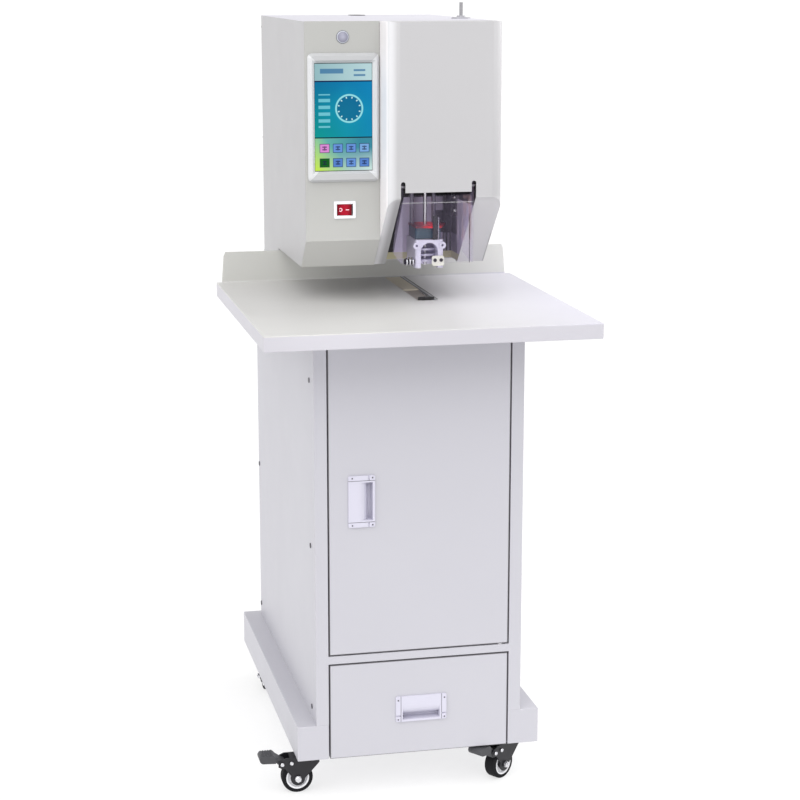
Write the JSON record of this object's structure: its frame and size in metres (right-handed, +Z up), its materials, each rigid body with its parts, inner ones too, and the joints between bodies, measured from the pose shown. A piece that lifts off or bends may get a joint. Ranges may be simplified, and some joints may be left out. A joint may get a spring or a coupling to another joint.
{
  "type": "document drilling and tube binding machine",
  "caption": "Floor-standing machine that drills a stack of paper and binds it with plastic tube: touch screen head, clear guard, worktop, cabinet with drawer, casters.",
  "frame": {"origin": "on the floor, under the middle of the bounding box", "axes": "+Z up, +X to the right of someone facing the machine, +Y away from them; the front faces -Y"},
  "size_m": [0.514, 0.697, 1.236],
  "materials": {
    "cabinet_paint": "fine textured powder coat, satin",
    "table_paint": "fine textured powder coat, satin",
    "head_paint": "powder coat, satin",
    "panel_paint": "powder coat, satin, light grey",
    "dark_paint": "black enamel",
    "teal_paint": "dark blue green enamel",
    "red_paint": "gloss red enamel",
    "bright_steel": "turned and ground",
    "zinc_steel": "zinc plated sheet",
    "slide_steel": "dark oiled steel",
    "slot_plate": "thin beige film over steel",
    "black_steel": "black stoved enamel",
    "cast_alloy": "fine cast, lightly polished",
    "pull_plastic": "smooth moulded",
    "bezel_plastic": "smooth moulded",
    "white_plastic": "smooth moulded",
    "black_plastic": "fine grained moulded",
    "red_plastic": "translucent moulded",
    "lens_plastic": "milky moulded",
    "screen_glass": "lit display behind clear glass",
    "clear_acrylic": "clear sheet with polished edges",
    "wheel_rubber": "black tread on a white hub"
  },
  "bodies": {
    "stand": {"base_frame": "cabinet_paint", "caster_plates": "bright_steel", "left_side_panel": "cabinet_paint", "right_side_panel": "cabinet_paint", "front_frame": "cabinet_paint", "back_panel": "cabinet_paint", "cabinet_shelf": "cabinet_paint", "drawer_runners": "zinc_steel", "hinge_pins": "bright_steel", "panel_screws": "bright_steel", "power_inlet": "black_plastic", "worktop": "table_paint", "slot_cover": "slot_plate", "slide_guide": "zinc_steel", "lower_die": "bright_steel", "head_pillar": "zinc_steel", "head_base_plate": "head_paint", "head_casing": "head_paint", "rear_cover": "head_paint", "control_panel": "panel_paint", "block_cover": "head_paint", "window_liner": "dark_paint", "tool_frame": "dark_paint", "guide_posts": "bright_steel", "lift_motor": "dark_paint", "screen_bezel": "bezel_plastic", "touch_screen": "screen_glass", "sensor_lens": "lens_plastic", "rocker_frame": "white_plastic", "feed_flange": "bright_steel", "guard_rod": "bright_steel"},
    "door": {"door": "cabinet_paint", "door_pull": "pull_plastic"},
    "drawer": {"drawer_front": "cabinet_paint", "drawer_box": "zinc_steel", "drawer_slides": "zinc_steel", "drawer_pull": "pull_plastic"},
    "guard": {"guard": "clear_acrylic"},
    "press": {"press_foot": "cast_alloy", "press_block": "teal_paint", "press_plate": "red_paint", "press_rods": "bright_steel"},
    "drill_carriage": {"drill_carriage": "cast_alloy", "drill_motor": "dark_paint"},
    "drill_spindle": {"drill_spindle": "bright_steel"},
    "lift_screw": {"lift_screw": "bright_steel"},
    "slide": {"slide_bar": "slide_steel", "slide_handle": "black_plastic"},
    "rocker": {"rocker": "red_plastic"},
    "feed_rod": {"feed_rod": "bright_steel"},
    "fork_front_left": {"caster_fork_front_left": "black_steel"},
    "fork_front_right": {"caster_fork_front_right": "black_steel"},
    "fork_rear_left": {"caster_fork_rear_left": "black_steel"},
    "fork_rear_right": {"caster_fork_rear_right": "black_steel"},
    "wheel_front_left": {"wheel_front_left": "wheel_rubber"},
    "wheel_front_right": {"wheel_front_right": "wheel_rubber"},
    "wheel_rear_left": {"wheel_rear_left": "wheel_rubber"},
    "wheel_rear_right": {"wheel_rear_right": "wheel_rubber"},
    "brake_left": {"brake_pedal_left": "black_steel"},
    "brake_right": {"brake_pedal_right": "black_steel"}
  },
  "joints": [
    {"name": "door_swing", "type": "hinge", "parent": "stand", "child": "door", "pos_m": [0.132, -0.2355, 0.488], "axis": [0, 0, 1], "range_deg": [0, 105]},
    {"name": "drawer_pull_out", "type": "slide", "parent": "stand", "child": "drawer", "axis": [0, -1, 0], "range_m": [0, 0.33]},
    {"name": "guard_tilt", "type": "hinge", "parent": "stand", "child": "guard", "pos_m": [0.04725, -0.1535, 0.96], "axis": [-1, 0, 0], "range_deg": [0, 75]},
    {"name": "press_down", "type": "slide", "parent": "stand", "child": "press", "axis": [0, 0, -1], "range_m": [0, 0.046]},
    {"name": "drill_feed", "type": "slide", "parent": "stand", "child": "drill_carriage", "axis": [0, 0, -1], "range_m": [0, 0.055]},
    {"name": "drill_spin", "type": "hinge", "parent": "drill_carriage", "child": "drill_spindle", "pos_m": [0.05, -0.0585, 0.95], "axis": [0, 0, 1], "continuous": true},
    {"name": "lift_screw_spin", "type": "hinge", "parent": "stand", "child": "lift_screw", "pos_m": [0.05, 0.0205, 1.06], "axis": [0, 0, 1], "range_deg": [0, 1985]},
    {"name": "slide_push", "type": "slide", "parent": "stand", "child": "slide", "axis": [0, 1, 0], "range_m": [0, 0.08]},
    {"name": "power_rocker", "type": "hinge", "parent": "stand", "child": "rocker", "pos_m": [-0.0887, -0.0955, 0.9205], "axis": [0, 0, 1], "range_deg": [0, 16]},
    {"name": "feed_rod_slide", "type": "slide", "parent": "stand", "child": "feed_rod", "axis": [0, 0, -1], "range_m": [0, 0.02]},
    {"name": "swivel_front_left", "type": "hinge", "parent": "stand", "child": "fork_front_left", "pos_m": [-0.163, -0.1915, 0.06], "axis": [0, 0, 1], "continuous": true},
    {"name": "roll_front_left", "type": "hinge", "parent": "fork_front_left", "child": "wheel_front_left", "pos_m": [-0.19, -0.1915, 0.025], "axis": [0, 1, 0], "continuous": true},
    {"name": "brake_left_press", "type": "hinge", "parent": "fork_front_left", "child": "brake_left", "pos_m": [-0.215, -0.1915, 0.051], "axis": [0, -1, 0], "range_deg": [0, 10]},
    {"name": "swivel_front_right", "type": "hinge", "parent": "stand", "child": "fork_front_right", "pos_m": [0.163, -0.1915, 0.06], "axis": [0, 0, 1], "continuous": true},
    {"name": "roll_front_right", "type": "hinge", "parent": "fork_front_right", "child": "wheel_front_right", "pos_m": [0.14088, -0.20699, 0.025], "axis": [-0.5736, 0.8192, 0], "continuous": true},
    {"name": "brake_right_press", "type": "hinge", "parent": "fork_front_right", "child": "brake_right", "pos_m": [0.1204, -0.22133, 0.051], "axis": [0.5736, -0.8192, 0], "range_deg": [0, 10]},
    {"name": "swivel_rear_left", "type": "hinge", "parent": "stand", "child": "fork_rear_left", "pos_m": [-0.163, 0.3035, 0.06], "axis": [0, 0, 1], "continuous": true},
    {"name": "roll_rear_left", "type": "hinge", "parent": "fork_rear_left", "child": "wheel_rear_left", "pos_m": [-0.163, 0.2765, 0.025], "axis": [-1, 0, 0], "continuous": true},
    {"name": "swivel_rear_right", "type": "hinge", "parent": "stand", "child": "fork_rear_right", "pos_m": [0.163, 0.3035, 0.06], "axis": [0, 0, 1], "continuous": true},
    {"name": "roll_rear_right", "type": "hinge", "parent": "fork_rear_right", "child": "wheel_rear_right", "pos_m": [0.163, 0.2765, 0.025], "axis": [-1, 0, 0], "continuous": true}
  ],
  "couplings": [
    {"joint": "lift_screw_spin", "follows": "drill_feed", "rad_per_m": 628.32}
  ]
}
